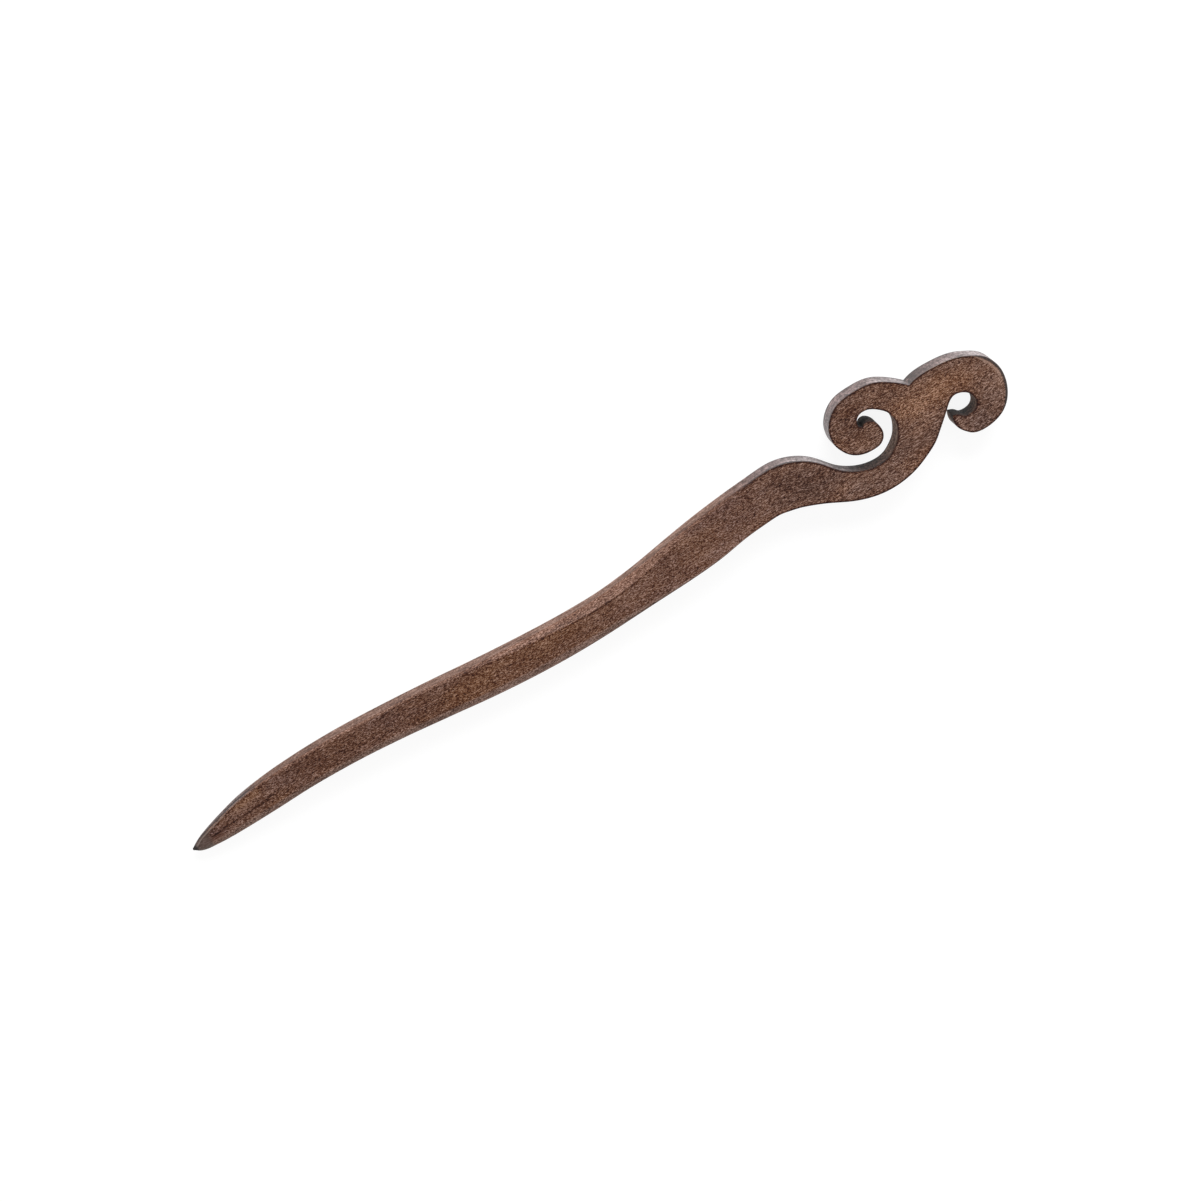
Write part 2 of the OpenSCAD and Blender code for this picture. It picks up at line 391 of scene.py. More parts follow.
def openness(i):
    """Share of the ground in front of outline point i that is free of wood within REACH, from 0 to 1."""
    here = ring_xy[i] - inward_xy[i] * 0.02
    a, b = ring_xy - here, np.roll(ring_xy, -1, axis=0) - here
    out = math.atan2(-inward_xy[i][1], -inward_xy[i][0])
    total = weight = 0.0
    for k in range(-6, 7):
        angle = out + k * math.radians(13)
        ux, uy = math.cos(angle), math.sin(angle)
        side_a, side_b = a[:, 1] * ux - a[:, 0] * uy, b[:, 1] * ux - b[:, 0] * uy
        cut = (side_a > 0) != (side_b > 0)
        t = side_a[cut] / (side_a[cut] - side_b[cut])
        p, q = a[cut] @ (ux, uy), b[cut] @ (ux, uy)
        ahead = p + (q - p) * t
        ahead = ahead[ahead > 0.05]
        free = min(REACH, ahead.min()) if len(ahead) else REACH
        w = math.cos(k * math.radians(13))
        total += w * free / REACH
        weight += w
    return total / weight


REACH = 14.0
ring_xy = np.array([(e.x, e.y) for e in edges])
inward_xy = np.array([tuple(n) for n in inwards])
open_share = [1.0 if edges[i].x < 20 else openness(i) for i in range(COUNT)]
along = [0.0]
for i in range(1, COUNT):
    along.append(along[-1] + math.hypot(*(ring_xy[i] - ring_xy[i - 1])))



def facing_light_share(i):
    """How much lighter a side is painted for the way it faces the light, from 0 to 1: most where it looks up and
    right, some to the left.
    """
    angle = math.degrees(math.atan2(-inward_xy[i][1], -inward_xy[i][0]))
    a = (angle - 52 + 180) % 360 - 180
    b = (angle - 165 + 180) % 360 - 180
    return math.exp(-((a / 24) ** 2)) + 0.8 * math.exp(-((b / 34) ** 2))


def leftward(i):
    """How much a side looks to the left, from 0 to 1."""
    angle = math.degrees(math.atan2(-inward_xy[i][1], -inward_xy[i][0])) % 360
    return smooth(80, 160, angle) * (1 - smooth(230, 290, angle))


painted_facing_light = [facing_light_share(i) for i in range(COUNT)]
to_left = [leftward(i) for i in range(COUNT)]
columns = [column(i) for i in range(COUNT)]
verts = []
# what the material reads at each point: how much of a wall or rounding it is, whether it is on the front edge's
# rounding, how shut in it is (for painted shade), how far along the outline, how far in from the face's rim,
# how much lighter a side is painted for facing the light, how much it looks to the left (for a painted lit copy of
# shut-in sides), and whether it is nearer the shank's upper edge
LAYERS = (
    "side_share",
    "edge_share",
    "recess",
    "along",
    "from_rim",
    "facing_light_share",
    "leftward",
    "upper",
)
values = {name: [] for name in LAYERS}


def put_point(x, y, z, *marks):
    verts.append([x, y, z])
    for name, mark in zip(LAYERS, marks):
        values[name].append(mark)
    return len(verts) - 1


for level in range(LEVELS):
    for i in range(COUNT):
        x, y, z, side, edge = columns[i][level]
        upper = 1.0 if i > HEAD_LAST else 0.0
        shut_in, left = 1 - open_share[i], to_left[i]
        put_point(x, y, z, side, edge, shut_in, along[i], 0.0, painted_facing_light[i], left, upper)

faces = []
for level in range(LEVELS - 1):
    for i in range(COUNT):
        j = (i + 1) % COUNT
        a, b = level * COUNT + i, level * COUNT + j
        faces.append((a, b, b + COUNT, a + COUNT))

ACROSS = 8
RIM_STEPS = (0.16, 0.45)  # extra rows just inside the rim, for the dark line there


def crossings(x, y, a, b):
    """How often a line from (x, y) towards +X crosses the sides a to b of an outline."""
    spans = (a[:, 1] > y) != (b[:, 1] > y)
    c, d = a[spans], b[spans]
    at = c[:, 0] + (y - c[:, 1]) / (d[:, 1] - c[:, 1]) * (d[:, 0] - c[:, 0])
    return int(np.count_nonzero(at > x))


def clear_of(x, y, a, b):
    """Distance from (x, y) to the nearest side of an outline."""
    side = b - a
    t = ((x - a[:, 0]) * side[:, 0] + (y - a[:, 1]) * side[:, 1]) / (side**2).sum(1)
    near = a + side * np.clip(t, 0, 1)[:, None]
    return math.sqrt(((near[:, 0] - x) ** 2 + (near[:, 1] - y) ** 2).min())


def shank_line(lo, hi):
    """Points across the shank from rim to rim."""
    a, b = verts[lo], verts[hi]
    width = math.dist(a[:2], b[:2])
    near = [min(d / width, 0.1 * (k + 1)) for k, d in enumerate(RIM_STEPS)]
    inner = [
        near[-1] + (1 - 2 * near[-1]) * k / ACROSS for k in range(1, ACROSS)
    ]
    shares = near + inner + [1 - t for t in reversed(near)]
    line = [lo]
    for t in shares:
        x, y, z = (mix(a[c], b[c], t) for c in range(3))
        line.append(
            put_point(x, y, z, 0.0, 0.0, 0.0, 0.0, min(t, 1 - t) * width, 0.0, 0.0, t)
        )
    return line + [hi]


def cover(level, up):
    """The flat face inside one ring: strips across the shank, a fine triangulation of the head."""
    o = level * COUNT
    made = [(o, o + 1, o + COUNT - 1)]
    previous = None
    for j in range(1, SHANK + 2):
        lo, hi = o + j, o + COUNT - j
        if j == SHANK + 1:
            lo, hi = o + HEAD_FIRST, o + HEAD_LAST
        line = shank_line(lo, hi)
        if previous:
            for k in range(len(line) - 1):
                made.append((previous[k], line[k], line[k + 1], previous[k + 1]))
        previous = line
    seam = previous
    rim = list(range(o + HEAD_FIRST, o + HEAD_LAST + 1))
    ring = rim + seam[1:-1][::-1]
    z = verts[ring[0]][2]
    outline = [Vector(verts[k][:2]) for k in ring]
    n = len(outline)
    coords = np.array([(p.x, p.y) for p in outline])
    nxt = np.roll(coords, -1, axis=0)
    walls_a, walls_b = coords[: len(rim) - 1], coords[1 : len(rim)]
    inner = []

    def keep(x, y, room):
        if crossings(x, y, coords, nxt) % 2 and clear_of(x, y, coords, nxt) > room:
            inner.append(Vector((x, y)))

    for d in RIM_STEPS:
        last = None
        for k in range(1, len(rim) - 1):
            q = outline[k] + inwards[HEAD_FIRST + k] * d
            if last is None or (q - last).length > 0.6 * d + 0.1:
                keep(q.x, q.y, 0.93 * d)
                last = q
    step, row = 0.6, 0
    y = coords[:, 1].min() + step / 2
    while y < coords[:, 1].max():
        x = coords[:, 0].min() + step * (0.5 if row % 2 else 1.0)
        while x < coords[:, 0].max():
            keep(x, y, RIM_STEPS[-1] + 0.22)
            x += step
        y += step * 0.87
        row += 1
    loop = [(k, (k + 1) % n) for k in range(n)]
    out, _, tris, from_vert, _, _ = geometry.delaunay_2d_cdt(
        outline + inner, loop, [], 1, 1e-7, True
    )
    number = []
    for k, p in enumerate(out):
        source = [v for v in from_vert[k] if v < n]
        if source:
            number.append(ring[source[0]])
        else:
            room = clear_of(p.x, p.y, walls_a, walls_b)
            number.append(put_point(p.x, p.y, z, 0.0, 0.0, 0.0, 0.0, room, 0.0, 0.0, 0.0))
    for tri in tris:
        cx = sum(out[v].x for v in tri) / 3
        cy = sum(out[v].y for v in tri) / 3
        if crossings(cx, cy, coords, nxt) % 2:
            made.append(tuple(number[v] for v in tri))
    return made if up else [f[::-1] for f in made]


faces += cover(LEVELS - 1, True)
faces += cover(0, False)

# ---------------------------------------------------------------- unevenness of hand work
lo_box = [c / MM for c in cad_box[0]]
hi_box = [c / MM for c in cad_box[1]]
for v in verts:
    x, y, z = v
    top = smooth(0.45, 0.8, z / THICK)
    relief = 0.045 * hand(x, y, 11.0, 0.3) + 0.02 * hand(x, y, 3.5, 5.9)
    v[2] = z - top * relief
    for c in range(3):
        v[c] = min(hi_box[c], max(lo_box[c], v[c]))

mesh = bpy.data.meshes.new("carved_stick")
mesh.from_pydata([[c * MM for c in v] for v in verts], [], faces)
mesh.validate()
mesh.update()
for name in LAYERS:
    layer = mesh.attributes.new(name, "FLOAT", "POINT")
    layer.data.foreach_set("value", values[name])
for p in mesh.polygons:
    p.use_smooth = True
stick = bpy.data.objects.new("carved_stick", mesh)
bpy.context.scene.collection.objects.link(stick)


# ---------------------------------------------------------------- stained wood
def srgb(r, g, b):
    def lin(c):
        c /= 255
        return c / 12.92 if c <= 0.04045 else ((c + 0.055) / 1.055) ** 2.4

    return (lin(r), lin(g), lin(b), 1.0)


def shades(middle, swing):
    """Ramp stops from a darker to a lighter shade, swing either way in each channel."""
    stops = []
    for k in range(7):
        step = (k - 3) / 3
        stops.append(
            (k / 6, srgb(*(min(250, max(3, c + w * step)) for c, w in zip(middle, swing))))
        )
    return stops


# broad lighter and darker zones of the stain: centre, half sizes, shift of the shade
TINTS = [
    ((72.5, 1.4), (12.0, 6.0), 0.09),  # lighter belt across the head
    ((80.5, 3.0), (7.0, 5.5), 0.07),
    ((88.0, -1.0), (2.6, 5.0), 0.07),
    ((44.6, -0.2), (6.0, 5.0), -0.11),  # darker hump
    ((47.5, -2.0), (11.0, 5.0), -0.05),
    ((-17.0, -4.4), (14.0, 5.0), -0.07),
    ((7.0, -3.2), (6.0, 4.5), 0.08),
    ((-78.8, -2.4), (4.0, 1.3), 0.10),
    ((68.5, 1.5), (4.2, 7.5), -0.06),
    ((84.7, -6.9), (3.0, 2.4), -0.05),
    ((84.8, 0.8), (2.4, 3.0), 0.06),
    ((30.5, -3.6), (7.0, 2.2), 0.08),
    ((41.5, 1.9), (3.4, 1.8), -0.06),
    ((50.0, -2.6), (6.0, 4.6), -0.07),
    ((59.5, 3.8), (5.0, 4.6), -0.09),  # darker near scroll
    ((60.5, 7.0), (6.0, 2.6), -0.06),
    ((60.8, -3.4), (3.6, 1.9), -0.10),
    ((76.8, -5.2), (2.8, 2.2), -0.10),  # darker tongue of the far scroll
    ((84.4, -7.2), (4.5, 2.4), -0.05),
    ((-60.0, -2.0), (16.0, 8.0), -0.06),
    ((-82.5, -3.5), (4.0, 4.0), -0.06),
    ((-73.0, -2.5), (5.0, 4.0), -0.05),
    ((5.0, 0.0), (9.0, 5.0), 0.04),
    ((27.0, -4.2), (14.0, 2.6), 0.07),  # lighter along the neck's lower edge
    ((76.7, 2.3), (2.2, 1.6), 0.05),  # lighter patches
    ((83.3, 2.3), (2.0, 1.6), 0.06),
    ((-74.3, -1.7), (3.4, 1.4), 0.08),
    ((41.5, 0.0), (4.0, 6.0), -0.06),
    ((47.0, -4.0), (5.0, 3.0), -0.05),
    ((70.5, 6.2), (5.0, 2.6), -0.07),
    ((80.2, 4.7), (3.6, 1.8), -0.08),
    ((76.5, -1.4), (2.6, 2.6), -0.06),
    ((86.0, -6.4), (3.4, 2.6), 0.10),
    ((70.2, -4.6), (3.6, 3.6), 0.11),
    ((-46.0, -2.5), (34.0, 10.0), -0.045),
    ((82.0, -7.2), (4.0, 2.4), 0.05),
    ((-5.0, -4.0), (7.0, 5.0), -0.06),
    ((-77.9, -1.6), (2.6, 1.0), 0.08),
    ((-73.9, -0.8), (2.4, 1.0), 0.08),
    ((46.5, -4.2), (6.0, 3.2), -0.05),
    ((60.5, 2.8), (2.6, 2.0), -0.05),
]
# the same for how warm the stain is
WARMTH = [
    ((73.5, 1.6), (11.0, 6.0), 0.55),
    ((64.0, 8.0), (7.0, 3.0), 0.20),
    ((84.0, 2.0), (6.0, 7.0), 0.15),
    ((-76.8, -2.1), (7.0, 1.7), 0.35),
    ((-33.0, -4.5), (16.0, 6.0), 0.40),
    ((-77.9, -1.6), (3.0, 1.3), 0.40),
    ((-73.9, -0.8), (3.0, 1.3), 0.40),
    ((81.0, 2.6), (7.0, 5.0), 0.35),
    ((-14.0, -3.0), (30.0, 7.0), 0.50),
    ((-76.0, -0.6), (5.0, 1.6), 0.45),
    ((-86.0, -5.0), (5.0, 4.0), -0.70),
    ((45.5, -1.0), (9.0, 6.0), -0.30),
    ((60.0, 3.0), (6.0, 4.0), -0.20),
    ((82.0, -7.0), (6.0, 3.0), -0.50),
    ((60.8, -3.4), (4.0, 2.0), -0.50),
]
# the same for the cut sides, mostly painted light and shade: painted shade beside the notch, in the near scroll's
# eye and in the far scroll's hole, painted highlight where the far scroll turns down
SIDE_LIGHT_AND_SHADE = [
    ((75.0, 6.2), (5.4, 3.0), -0.30),  # beside the notch
    ((61.0, 3.6), (1.9, 1.7), -0.30),  # eye of the near scroll
    ((77.4, -4.6), (1.3, 1.3), 0.10),  # end of the far scroll's tongue
    ((80.4, -3.8), (3.6, 3.0), -0.14),  # hole of the far scroll
    ((67.4, -0.2), (2.2, 3.4), 0.16),  # inside of the sweep
    ((64.6, -0.6), (2.0, 1.6), -0.10),
    ((87.4, 4.0), (4.6, 3.2), 0.16),  # palest where the far scroll turns down
]
# painted shade, nearly black, deep in the cut sides: centre, reach, share
PAINTED_SHADE_SPOTS = [
    ((61.1, 3.4, 4.6), 2.9, 0.85),  # eye of the near scroll
    ((77.5, -3.4, 5.0), 2.2, 0.85),  # end of the far scroll's tongue
    ((78.6, -3.8, 2.4), 2.0, 0.45),
]
# long marks in the grain: from, to, breadth, shift
STROKES = [
    ((-85.3, -4.65), (-80.0, -4.0), 0.24, -0.46),
    ((-80.0, -4.0), (-74.4, -3.45), 0.24, -0.42),
    ((-74.4, -3.45), (-69.4, -2.6), 0.45, -0.26),
]


class Tree:
    """Small helper for building a node tree."""

    def __init__(self, material):
        self.nodes = material.node_tree.nodes
        self.links = material.node_tree.links

    def new(self, kind, **values):
        node = self.nodes.new(kind)
        for key, value in values.items():
            setattr(node, key, value)
        return node

    def put(self, socket, value):
        if isinstance(value, bpy.types.NodeSocket):
            self.links.new(value, socket)
        else:
            socket.default_value = value

    def math(self, op, a, b=None, clamp=False):
        node = self.new("ShaderNodeMath", operation=op, use_clamp=clamp)
        self.put(node.inputs[0], a)
        if b is not None:
            self.put(node.inputs[1], b)
        return node.outputs[0]

    def vec(self, op, a, b=None):
        node = self.new("ShaderNodeVectorMath", operation=op)
        self.put(node.inputs[0], a)
        if b is not None:
            self.put(node.inputs[1], b)
        scalar = op in ("DISTANCE", "LENGTH", "DOT_PRODUCT")
        return node.outputs["Value" if scalar else "Vector"]

    def noise(self, at, scale, detail=2.0, rough=0.5, stretch=(1, 1, 1), offset=(0, 0, 0)):
        moved = self.vec("MULTIPLY", at, stretch)
        moved = self.vec("ADD", moved, offset)
        node = self.new("ShaderNodeTexNoise")
        self.put(node.inputs["Vector"], moved)
        node.inputs["Scale"].default_value = scale
        node.inputs["Detail"].default_value = detail
        node.inputs["Roughness"].default_value = rough
        return node

    def ramp(self, value, stops):
        node = self.new("ShaderNodeValToRGB")
        elements = node.color_ramp.elements
        while len(elements) > 1:
            elements.remove(elements[-1])
        elements[0].position = stops[0][0]
        elements[0].color = stops[0][1]
        for position, colour in stops[1:]:
            elements.new(position).color = colour
        self.put(node.inputs[0], value)
        return node.outputs[0]

    def remap(self, value, a, b, c=0.0, d=1.0, kind="LINEAR"):
        node = self.new("ShaderNodeMapRange", interpolation_type=kind)
        self.put(node.inputs["Value"], value)
        for key, v in (("From Min", a), ("From Max", b), ("To Min", c), ("To Max", d)):
            node.inputs[key].default_value = v
        return node.outputs[0]

    def mark(self, name):
        return self.new("ShaderNodeAttribute", attribute_name=name).outputs["Fac"]

    def centred(self, value):
        return self.math("SUBTRACT", value, 0.5)

    def total(self, *parts):
        """Sum of values, each times its weight."""
        out = None
        for value, weight in parts:
            part = self.math("MULTIPLY", value, weight)
            out = part if out is None else self.math("ADD", out, part)
        return out

    def spot(self, at, centre, size):
        """1 at the centre of a soft oval on the front or back, 0 outside it."""
        moved = self.vec("SUBTRACT", at, (*centre, 0.0))
        moved = self.vec("MULTIPLY", moved, (1 / size[0], 1 / size[1], 0.0))
        return self.remap(self.vec("LENGTH", moved), 1.0, 0.0, 0.0, 1.0, "SMOOTHSTEP")

    def stroke(self, at, start, end, breadth):
        """1 on a line from start to end, fading to 0 at its breadth."""
        flat = self.vec("MULTIPLY", at, (1.0, 1.0, 0.0))
        along = (end[0] - start[0], end[1] - start[1], 0.0)
        size = along[0] ** 2 + along[1] ** 2
        out = self.vec("SUBTRACT", flat, (*start, 0.0))
        share = self.math(
            "MULTIPLY", self.vec("DOT_PRODUCT", out, along), 1 / size, clamp=True
        )
        scaled = self.new("ShaderNodeVectorMath", operation="SCALE")
        scaled.inputs[0].default_value = along
        self.put(scaled.inputs["Scale"], share)
        gap = self.vec("LENGTH", self.vec("SUBTRACT", out, scaled.outputs["Vector"]))
        return self.remap(gap, breadth, 0.0, 0.0, 1.0, "SMOOTHSTEP")

    def mix(self, factor, a, b, blend="MIX"):
        node = self.new("ShaderNodeMix", data_type="RGBA", blend_type=blend)
        self.put(node.inputs[0], factor)
        self.put(node.inputs[6], a)
        self.put(node.inputs[7], b)
        return node.outputs[2]


wood = bpy.data.materials.new("stained_wood")
wood.use_nodes = True
t = Tree(wood)
t.nodes.clear()
out = t.new("ShaderNodeOutputMaterial")
bsdf = t.new("ShaderNodeBsdfPrincipled")
t.links.new(bsdf.outputs[0], out.inputs["Surface"])

place = t.new("ShaderNodeTexCoord").outputs["Object"]
mm = t.vec("MULTIPLY", place, (1000, 1000, 1000))
split = t.new("ShaderNodeSeparateXYZ")
t.put(split.inputs[0], mm)
length, height = split.outputs[0], split.outputs[2]
side = t.mark("side_share")
edge = t.mark("edge_share")
recess = t.mark("recess")
from_rim = t.mark("from_rim")
drift = t.vec("SUBTRACT", t.noise(mm, 0.09, 2.0).outputs["Color"], (0.5, 0.5, 0.5))
grain = t.vec("ADD", mm, t.vec("MULTIPLY", drift, (3.0, 2.2, 2.2)))

# pores and short flecks along the grain, fine dashes, longer streaks, cloudy patches
fleck = t.noise(grain, 1.0, 3.0, 0.75, (2.4, 7.4, 7.4)).outputs["Fac"]
dash = t.noise(grain, 1.0, 2.0, 0.55, (0.9, 6.0, 6.0), (5, 1, 8)).outputs["Fac"]
streak = t.noise(grain, 1.0, 3.0, 0.55, (0.22, 2.1, 2.1), (7, 3, 1)).outputs["Fac"]
patch = t.noise(grain, 1.0, 2.0, 0.5, (0.09, 0.19, 0.19), (3, 9, 4)).outputs["Fac"]
cloud = t.noise(grain, 1.0, 2.0, 0.55, (0.20, 0.38, 0.38), (8, 2, 5)).outputs["Fac"]
# coarser flecks of the end grain on the cut sides, and marks of the sanding along them
end_fleck = t.noise(mm, 1.0, 3.0, 0.7, (2.1, 2.1, 0.8), (2, 6, 3)).outputs["Fac"]
combed = t.new("ShaderNodeCombineXYZ")
t.put(combed.inputs[0], t.math("MULTIPLY", t.mark("along"), 0.22))
t.put(combed.inputs[1], t.math("MULTIPLY", height, 1.0))
sanding = t.noise(combed.outputs[0], 1.0, 3.0, 0.6).outputs["Fac"]


def product(*parts):
    result = parts[0]
    for part in parts[1:]:
        result = t.math("MULTIPLY", result, part)
    return result


def ease(value, a, b):
    """0 where the value is a, 1 where it is b, smoothly between."""
    return t.remap(value, a, b, 0.0, 1.0, "SMOOTHSTEP")


# where on the stick: 1 on the scroll head, 1 on the last millimetres of the point
head = ease(length, 30.0, 45.0)
head_side_share = ease(length, 28.0, 42.0)
point = ease(length, -85.2, -86.4)
blunt = ease(length, -88.7, -89.3)
far_end = ease(length, 85.2, 87.0)
near_point = ease(length, -72.5, -77.0)
ridge_span = product(ease(length, -10.0, -4.0), ease(length, 15.0, 9.0))
upper = t.mark("upper")
is_upper = t.remap(upper, 0.5, 0.8)
is_lower = t.math("SUBTRACT", 1.0, is_upper, clamp=True)
# painted shade: shut-in cut sides are darkened below, and made rougher
shut = ease(recess, 0.40, 0.62)
# painted light: how much a side is painted lighter for the way it faces the light
facing_light_mark = t.mark("facing_light_share")
smooth_cut = ease(t.spot(mm, (-84.9, -5.1), (3.2, 1.1)), 0.1, 0.5)
grainy = t.math("SUBTRACT", 1.0, t.math("MULTIPLY", t.math("MAXIMUM", point, smooth_cut), 0.85))
flecks = t.math("MULTIPLY", t.centred(fleck), grainy)
not_edge = t.math("SUBTRACT", 1.0, edge, clamp=True)
wall_share = t.math("MULTIPLY", side, not_edge)
face_share = t.math("SUBTRACT", 1.0, side, clamp=True)
not_head = t.math("SUBTRACT", 1.0, head)
not_far = t.math("SUBTRACT", 1.0, far_end)
# how far below the shank's front face a point of the upper side is
front_here = t.math(
    "MINIMUM",
    t.math("ADD", t.math("MULTIPLY", length, 0.0997), 12.05),
    t.math("ADD", t.math("MULTIPLY", length, 0.0399), 7.99),
)
front_here = t.math("MINIMUM", front_here, 6.0)
below = t.math("SUBTRACT", front_here, height)

# a thin dark line inside the head's rim, and along the shank's crisp ridge
rim = product(ease(from_rim, 0.40, 0.10), face_share)
ridge_line = product(rim, is_upper, ridge_span)
faint_span = product(ease(length, -33.0, -26.0), t.math("SUBTRACT", 1.0, ridge_span))
faint_line = product(rim, is_upper, faint_span, ease(length, -4.0, -10.0))
point_line = product(rim, is_upper, ease(length, -68.0, -73.0))
rim = t.math("MAXIMUM", rim, edge)
rim = product(rim, head, not_far)
# the far scroll's worn end: a light band painted as the sheen its shallow slope catches, and a rim painted in shade
# outside it
worn_end_sheen = product(t.remap(side, 0.0, 0.15), t.remap(side, 0.55, 0.38), edge, far_end)
worn_end_sheen = product(worn_end_sheen, ease(t.vec("DISTANCE", mm, (88.6, 1.8, 6.0)), 5.5, 1.5))
shaded_end_rim = product(t.remap(side, 0.46, 0.62), edge, far_end)
# bevels are painted lighter next to the face, partly rubbed wear and partly painted highlight, and a brighter
# painted highlight runs along the shank's crisp ridge
rubbed_edge_highlight = product(t.remap(side, 0.0, 0.06), t.remap(side, 0.45, 0.2), edge)
ridge_highlight = product(rubbed_edge_highlight, is_upper, ridge_span)
# painted highlight on the thin ridge near the point
point_ridge_highlight = product(
    t.remap(side, 0.70, 0.45), ease(from_rim, 0.12, 0.02), t.remap(upper, 0.3, 0.6), near_point
)
behind_ridge = product(ease(length, -82.0, -80.5), t.remap(side, 0.5, 0.3))
point_ridge_highlight = product(point_ridge_highlight, t.math("SUBTRACT", 1.0, behind_ridge))
rubbed_edge_highlight = product(rubbed_edge_highlight, t.remap(streak, 0.42, 0.58), not_head)

value = t.total(
    (flecks, 3.9),
    (head, -0.04),
    (product(t.spot(mm, (71.0, 2.0), (9.0, 7.0)), flecks), 0.8),
    (product(t.spot(mm, (83.0, -6.0), (6.0, 4.0)), flecks), -0.9),
    (product(t.spot(mm, (70.0, -4.8), (5.0, 4.0)), flecks), -1.7),
    (t.centred(dash), 1.15),
    (product(head, t.centred(dash)), 0.4),
    (t.centred(streak), 0.36),
    (t.centred(patch), 0.30),
    (t.centred(cloud), 0.22),
)
for centre, size, shift in TINTS:
    value = t.math("ADD", value, t.math("MULTIPLY", t.spot(mm, centre, size), shift))
for start, end, breadth, shift in STROKES:
    value = t.math(
        "ADD", value, t.math("MULTIPLY", t.stroke(mm, start, end, breadth), shift)
    )
value = t.total(
    (value, 1.0),
    (rim, -0.42),
    (ridge_line, -0.34),
    (faint_line, -0.12),
    (point_line, -0.16),
    # painted highlight on the bevels and along the ridge
    (rubbed_edge_highlight, 0.06),
    (ridge_highlight, 0.12),
)
value = t.math("ADD", value, 0.5, clamp=True)

warmth = t.total(
    (t.centred(t.noise(grain, 1.0, 2.0, 0.55, (0.12, 0.26, 0.26), (1, 7, 2)).outputs["Fac"]), 1.3),
    (flecks, 0.5),
)
for centre, size, shift in WARMTH:
    warmth = t.math("ADD", warmth, t.math("MULTIPLY", t.spot(mm, centre, size), shift))
warmth = t.math("ADD", warmth, 0.42, clamp=True)
shank_cool = t.ramp(value, shades((90, 60, 48), (67, 71, 78)))
shank_warm = t.ramp(value, shades((99, 61, 35), (70, 74, 80)))
head_cool = t.ramp(value, shades((97, 71, 60), (69, 70, 73)))
head_warm = t.ramp(value, shades((107, 69, 45), (73, 74, 76)))
face_colour = t.mix(
    head, t.mix(warmth, shank_cool, shank_warm), t.mix(warmth, head_cool, head_warm)
)
# the bevels: a little darker towards the neck above, rosier below
upper_bevel_value = t.total(
    (value, 1.0),
    (product(ease(length, -66.0, -70.0), ease(length, -79.0, -75.0)), -0.09),
    (ease(length, -34.0, -29.0), -0.08),
    (product(ease(length, -24.0, -20.0), ease(length, -9.0, -13.0)), 0.07),
    (ease(length, -24.0, -17.0), 0.11),
    (product(ease(length, -13.0, -10.0), ease(length, -1.0, -4.0)), -0.06),
    (product(ease(length, -7.0, 0.0), ease(length, 20.0, 14.0), t.remap(side, 0.7, 0.4)), 0.09),
    (ease(length, 10.0, 26.0), -0.20),
)
lower_bevel_value = t.total(
    (value, 1.0),
    (product(ease(length, -34.0, -26.0), t.remap(side, 0.3, 0.8)), 0.10),
    (product(ease(length, -22.0, 4.0), t.remap(side, 0.8, 0.97)), -0.22),
    (product(ease(length, 1.0, 9.0), t.remap(side, 0.5, 0.8)), -0.42),
    (ease(length, -66.0, -74.0), -0.04),
    (ease(length, 4.0, 10.0), 0.06),
)
upper_bevel = t.ramp(upper_bevel_value, shades((101, 67, 50), (68, 68, 70)))
lower_bevel = t.ramp(lower_bevel_value, shades((111, 80, 65), (68, 68, 70)))
bevel_colour = t.mix(is_upper, lower_bevel, upper_bevel)

# cut sides: a painted highlight just under the front edge, darker at the front edge itself, painted shade at the
# back edge, and a painted highlight high on the far scroll
under_edge_highlight = product(ease(height, 3.9, 4.6), ease(height, 5.3, 4.9), head_side_share)
at_front = product(ease(height, 5.0, 5.7), head_side_share)
back_edge_shade = ease(height, 1.2, 0.3)
hump_front = product(ease(height, 4.4, 5.1), t.spot(mm, (45.5, 2.4), (11.0, 6.0)))
far_top_highlight = product(ease(height, 4.9, 5.4), t.spot(mm, (80.5, 6.6), (8.0, 3.0)))
shank_wall = t.math("SUBTRACT", 1.0, head_side_share)
next_to_face = product(ease(below, 2.4, 0.5), is_upper, shank_wall)
neck_wall = product(ease(length, -8.0, 2.0), ease(length, 36.0, 26.0), is_upper)
neck_low = product(neck_wall, ease(height, 3.2, 1.9))
neck_high = product(neck_wall, ease(height, 3.4, 4.6), ease(length, 6.0, 12.0))
